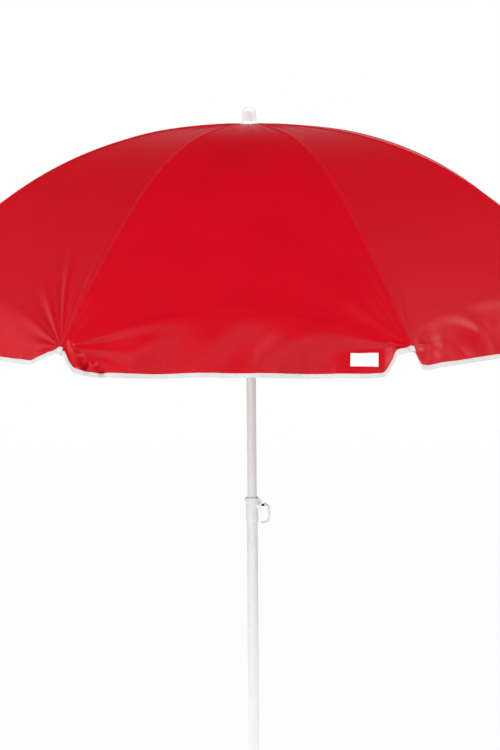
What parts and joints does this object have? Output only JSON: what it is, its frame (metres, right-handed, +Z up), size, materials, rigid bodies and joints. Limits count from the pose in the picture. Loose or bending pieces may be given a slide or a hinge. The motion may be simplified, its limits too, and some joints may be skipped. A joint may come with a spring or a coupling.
{
  "type": "beach umbrella",
  "caption": "Folding beach umbrella: stretched dome canopy with a hanging bound edge, rod ribs and stretchers on a sliding runner, telescopic pole with a loop-handled lock screw.",
  "frame": {"origin": "tip of the ground spike on the pole's axis", "axes": "+Z up along the pole, -Y the pictured front, +X the side of the lock screw"},
  "size_m": [1.6914, 1.6914, 1.9993],
  "materials": {
    "pole_paint": "satin white powder coat",
    "rib_paint": "satin white paint",
    "rib_fittings": "satin white paint",
    "white_plastic": "moulded, light satin",
    "bare_steel": "zinc plated",
    "red_cloth": "plain weave polyester, slight sheen",
    "hem_tape": "woven binding tape"
  },
  "bodies": {
    "lower": {"lower_pole": "pole_paint", "pole_spike": "white_plastic", "pole_collar": "white_plastic", "collar_rivet": "bare_steel", "lock_nut": "bare_steel"},
    "lock_stud": {"lock_stud": "bare_steel"},
    "lock_ring": {"lock_ring": "white_plastic"},
    "pole_plug": {"pole_plug": "white_plastic"},
    "upper": {"upper_pole": "pole_paint", "crown": "white_plastic", "crown_wire": "bare_steel", "crown_rivet": "bare_steel", "finial": "white_plastic"},
    "runner": {"runner": "white_plastic"},
    "catch": {"catch": "bare_steel"},
    "rib_1": {"rib_1": "rib_paint", "rib_fittings_1": "rib_fittings", "canopy_1": "red_cloth", "hem_1": "hem_tape"},
    "stretcher_1": {"stretcher_1": "rib_paint"},
    "rib_2": {"rib_2": "rib_paint", "rib_fittings_2": "rib_fittings", "canopy_2": "red_cloth", "hem_2": "hem_tape"},
    "stretcher_2": {"stretcher_2": "rib_paint"},
    "rib_3": {"rib_3": "rib_paint", "rib_fittings_3": "rib_fittings", "canopy_3": "red_cloth", "hem_3": "hem_tape"},
    "stretcher_3": {"stretcher_3": "rib_paint"},
    "rib_4": {"rib_4": "rib_paint", "rib_fittings_4": "rib_fittings", "canopy_4": "red_cloth", "hem_4": "hem_tape"},
    "stretcher_4": {"stretcher_4": "rib_paint"},
    "rib_5": {"rib_5": "rib_paint", "rib_fittings_5": "rib_fittings", "canopy_5": "red_cloth", "hem_5": "hem_tape"},
    "stretcher_5": {"stretcher_5": "rib_paint"},
    "rib_6": {"rib_6": "rib_paint", "rib_fittings_6": "rib_fittings", "canopy_6": "red_cloth", "hem_6": "hem_tape"},
    "stretcher_6": {"stretcher_6": "rib_paint"},
    "rib_7": {"rib_7": "rib_paint", "rib_fittings_7": "rib_fittings", "canopy_7": "red_cloth", "hem_7": "hem_tape"},
    "stretcher_7": {"stretcher_7": "rib_paint"},
    "rib_8": {"rib_8": "rib_paint", "rib_fittings_8": "rib_fittings", "canopy_8": "red_cloth", "hem_8": "hem_tape"},
    "stretcher_8": {"stretcher_8": "rib_paint"}
  },
  "joints": [
    {"name": "lock_advance", "type": "slide", "parent": "lower", "child": "lock_stud", "axis": [1, 0, 0], "range_m": [0, 0.0021]},
    {"name": "lock_turn", "type": "hinge", "parent": "lock_stud", "child": "lock_ring", "pos_m": [0.0312, 0, 1.0775], "axis": [1, 0, 0], "range_deg": [0, 720]},
    {"name": "pole_slide", "type": "slide", "parent": "lower", "child": "pole_plug", "axis": [0, 0, 1], "range_m": [-0.45, 0.14]},
    {"name": "pole_swivel", "type": "hinge", "parent": "pole_plug", "child": "upper", "pos_m": [0, 0, 0.88], "axis": [0, 0, 1], "continuous": true},
    {"name": "runner_slide", "type": "slide", "parent": "upper", "child": "runner", "axis": [0, 0, -1], "range_m": [0, 0.452], "deforming": ["catch", "canopy_1", "hem_1", "canopy_2", "hem_2", "canopy_3", "hem_3", "canopy_4", "hem_4", "canopy_5", "hem_5", "canopy_6", "hem_6", "canopy_7", "hem_7", "canopy_8", "hem_8"]},
    {"name": "catch_press", "type": "slide", "parent": "upper", "child": "catch", "axis": [1, 0, 0], "range_m": [0, 0.0055], "stiffness_N_per_m": 400, "springref_m": -0.002},
    {"name": "rib_1_fold", "type": "hinge", "parent": "upper", "child": "rib_1", "pos_m": [-0.00583, -0.01273, 1.953], "axis": [0.9092, -0.4163, 0], "range_deg": [0, 61.97]},
    {"name": "rib_2_fold", "type": "hinge", "parent": "upper", "child": "rib_2", "pos_m": [0.00488, -0.01312, 1.953], "axis": [0.9373, 0.3486, 0], "range_deg": [0, 61.97]},
    {"name": "rib_3_fold", "type": "hinge", "parent": "upper", "child": "rib_3", "pos_m": [0.01273, -0.00583, 1.953], "axis": [0.4163, 0.9092, 0], "range_deg": [0, 61.97]},
    {"name": "rib_4_fold", "type": "hinge", "parent": "upper", "child": "rib_4", "pos_m": [0.01312, 0.00488, 1.953], "axis": [-0.3486, 0.9373, 0], "range_deg": [0, 61.97]},
    {"name": "rib_5_fold", "type": "hinge", "parent": "upper", "child": "rib_5", "pos_m": [0.00583, 0.01273, 1.953], "axis": [-0.9092, 0.4163, 0], "range_deg": [0, 61.97]},
    {"name": "rib_6_fold", "type": "hinge", "parent": "upper", "child": "rib_6", "pos_m": [-0.00488, 0.01312, 1.953], "axis": [-0.9373, -0.3486, 0], "range_deg": [0, 61.97]},
    {"name": "rib_7_fold", "type": "hinge", "parent": "upper", "child": "rib_7", "pos_m": [-0.01273, 0.00583, 1.953], "axis": [-0.4163, -0.9092, 0], "range_deg": [0, 61.97]},
    {"name": "rib_8_fold", "type": "hinge", "parent": "upper", "child": "rib_8", "pos_m": [-0.01312, -0.00488, 1.953], "axis": [0.3486, -0.9373, 0], "range_deg": [0, 61.97]},
    {"name": "stretcher_1_fold", "type": "hinge", "parent": "rib_1", "child": "stretcher_1", "pos_m": [-0.15622, -0.34121, 1.89255], "axis": [-0.9092, 0.4163, 0], "range_deg": [0, 101.18]},
    {"name": "stretcher_2_fold", "type": "hinge", "parent": "rib_2", "child": "stretcher_2", "pos_m": [0.13081, -0.35173, 1.89255], "axis": [-0.9373, -0.3486, 0], "range_deg": [0, 101.18]},
    {"name": "stretcher_3_fold", "type": "hinge", "parent": "rib_3", "child": "stretcher_3", "pos_m": [0.34121, -0.15622, 1.89255], "axis": [-0.4163, -0.9092, 0], "range_deg": [0, 101.18]},
    {"name": "stretcher_4_fold", "type": "hinge", "parent": "rib_4", "child": "stretcher_4", "pos_m": [0.35173, 0.13081, 1.89255], "axis": [0.3486, -0.9373, 0], "range_deg": [0, 101.18]},
    {"name": "stretcher_5_fold", "type": "hinge", "parent": "rib_5", "child": "stretcher_5", "pos_m": [0.15622, 0.34121, 1.89255], "axis": [0.9092, -0.4163, 0], "range_deg": [0, 101.18]},
    {"name": "stretcher_6_fold", "type": "hinge", "parent": "rib_6", "child": "stretcher_6", "pos_m": [-0.13081, 0.35173, 1.89255], "axis": [0.9373, 0.3486, 0], "range_deg": [0, 101.18]},
    {"name": "stretcher_7_fold", "type": "hinge", "parent": "rib_7", "child": "stretcher_7", "pos_m": [-0.34121, 0.15622, 1.89255], "axis": [0.4163, 0.9092, 0], "range_deg": [0, 101.18]},
    {"name": "stretcher_8_fold", "type": "hinge", "parent": "rib_8", "child": "stretcher_8", "pos_m": [-0.35173, -0.13081, 1.89255], "axis": [-0.3486, 0.9373, 0], "range_deg": [0, 101.18]}
  ],
  "couplings": [
    {"joint": "lock_advance", "follows": "lock_turn", "m_per_rad": 0.00015915},
    {"joint": "rib_1_fold", "follows": "runner_slide", "rad_per_m": 2.3921},
    {"joint": "rib_2_fold", "follows": "runner_slide", "rad_per_m": 2.3921},
    {"joint": "rib_3_fold", "follows": "runner_slide", "rad_per_m": 2.3921},
    {"joint": "rib_4_fold", "follows": "runner_slide", "rad_per_m": 2.3921},
    {"joint": "rib_5_fold", "follows": "runner_slide", "rad_per_m": 2.3921},
    {"joint": "rib_6_fold", "follows": "runner_slide", "rad_per_m": 2.3921},
    {"joint": "rib_7_fold", "follows": "runner_slide", "rad_per_m": 2.3921},
    {"joint": "rib_8_fold", "follows": "runner_slide", "rad_per_m": 2.3921},
    {"joint": "stretcher_1_fold", "follows": "runner_slide", "rad_per_m": 3.906},
    {"joint": "stretcher_2_fold", "follows": "runner_slide", "rad_per_m": 3.906},
    {"joint": "stretcher_3_fold", "follows": "runner_slide", "rad_per_m": 3.906},
    {"joint": "stretcher_4_fold", "follows": "runner_slide", "rad_per_m": 3.906},
    {"joint": "stretcher_5_fold", "follows": "runner_slide", "rad_per_m": 3.906},
    {"joint": "stretcher_6_fold", "follows": "runner_slide", "rad_per_m": 3.906},
    {"joint": "stretcher_7_fold", "follows": "runner_slide", "rad_per_m": 3.906},
    {"joint": "stretcher_8_fold", "follows": "runner_slide", "rad_per_m": 3.906}
  ]
}
